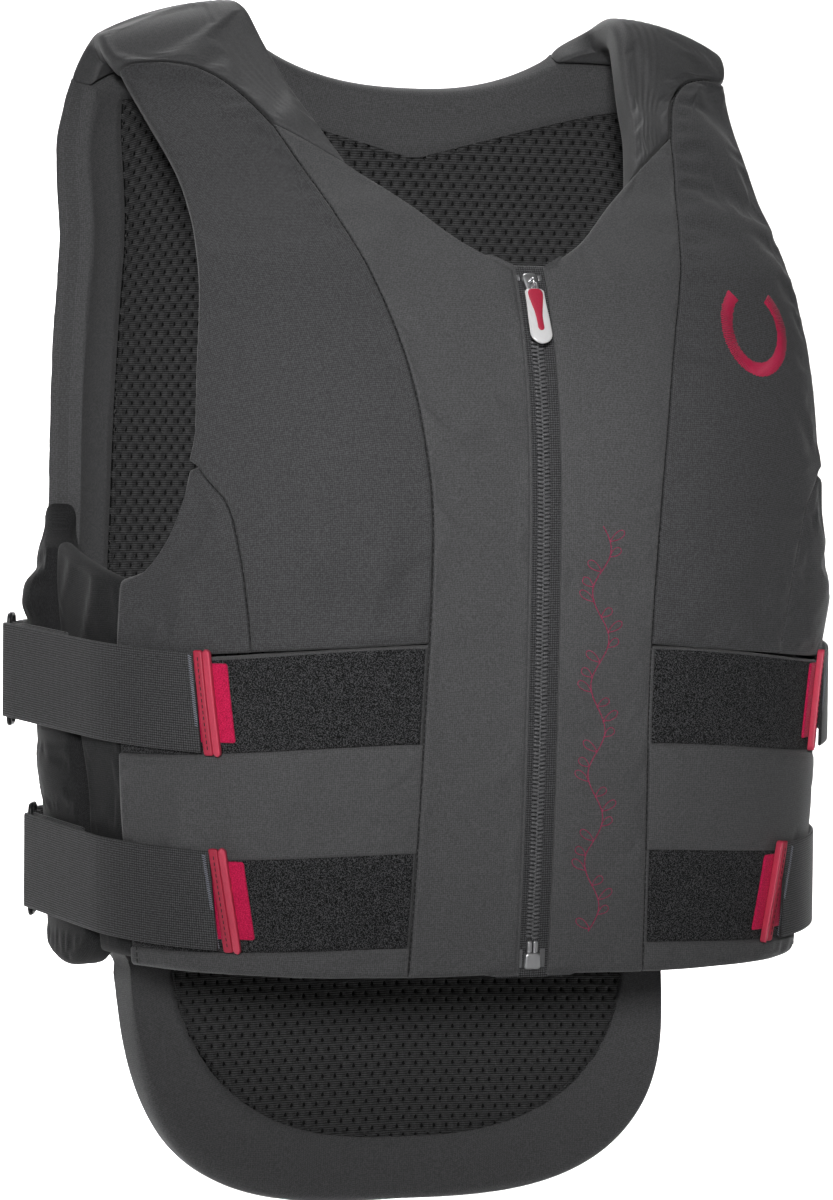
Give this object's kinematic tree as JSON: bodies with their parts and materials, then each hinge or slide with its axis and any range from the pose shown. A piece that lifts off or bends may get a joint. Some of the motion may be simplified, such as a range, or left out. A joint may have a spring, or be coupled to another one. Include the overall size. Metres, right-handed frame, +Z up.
{
  "type": "equestrian body protector",
  "caption": "Padded riding vest with a front zip, wide elastic waist straps on wire rings, loop tape bands and a long rounded back.",
  "frame": {"origin": "midway between the shoulder straps, level with their undersides, where the vest sits on the wearer", "axes": "+Z up; the front faces -Y; +X is the wearer's left"},
  "size_m": [0.4646, 0.2426, 0.6632],
  "materials": {
    "softshell": "smooth charcoal softshell fabric",
    "stretch": "fine ribbed charcoal stretch fabric",
    "mesh": "perforated spacer mesh",
    "loop_tape": "fuzzy loop tape",
    "webbing": "woven elastic webbing",
    "red_trim": "red moulded rubber",
    "hook_tape": "red hook tape",
    "steel": "bright plated metal",
    "dark_wire": "black-coated steel wire",
    "coil": "dark nylon zip coil",
    "clear_plastic": "clear soft plastic"
  },
  "bodies": {
    "vest": {"back_pad": "softshell", "centre_pad_right": "softshell", "centre_pad_left": "softshell", "waist_pad_right": "softshell", "waist_pad_left": "softshell", "yoke_right": "softshell", "yoke_left": "softshell", "front_wing_right": "softshell", "front_wing_left": "softshell", "back_wing_right": "softshell", "back_wing_left": "softshell", "chest_pad_right": "stretch", "chest_pad_left": "stretch", "underarm_pad_right": "stretch", "underarm_pad_left": "stretch", "back_lining": "mesh", "loop_band_upper_right": "loop_tape", "loop_band_upper_left": "loop_tape", "loop_band_lower_right": "loop_tape", "loop_band_lower_left": "loop_tape", "strap_upper_right": "webbing", "strap_upper_left": "webbing", "strap_lower_right": "webbing", "strap_lower_left": "webbing", "anchor_upper_right": "webbing", "anchor_upper_left": "webbing", "anchor_lower_right": "webbing", "anchor_lower_left": "webbing", "zip_tape_right": "webbing", "zip_tape_left": "webbing", "grip_upper_right": "red_trim", "grip_upper_left": "red_trim", "grip_lower_right": "red_trim", "grip_lower_left": "red_trim", "hook_patch_upper_right": "hook_tape", "hook_patch_upper_left": "hook_tape", "hook_patch_lower_right": "hook_tape", "hook_patch_lower_left": "hook_tape", "zip_slider": "steel", "zip_box": "steel", "zip_stop_right": "steel", "zip_stop_left": "steel", "ring_upper_right": "dark_wire", "ring_upper_left": "dark_wire", "ring_lower_right": "dark_wire", "ring_lower_left": "dark_wire", "zip_chain": "coil", "zip_film_right": "clear_plastic", "zip_film_left": "clear_plastic"},
    "pull": {"pull_link": "steel", "pull_rim": "clear_plastic", "pull_core": "red_trim"}
  },
  "joints": [
    {"name": "puller_hinge", "type": "hinge", "parent": "vest", "child": "pull", "pos_m": [0, -0.14734, -0.13134], "axis": [-1, 0, 0], "range_deg": [0, 150]}
  ]
}
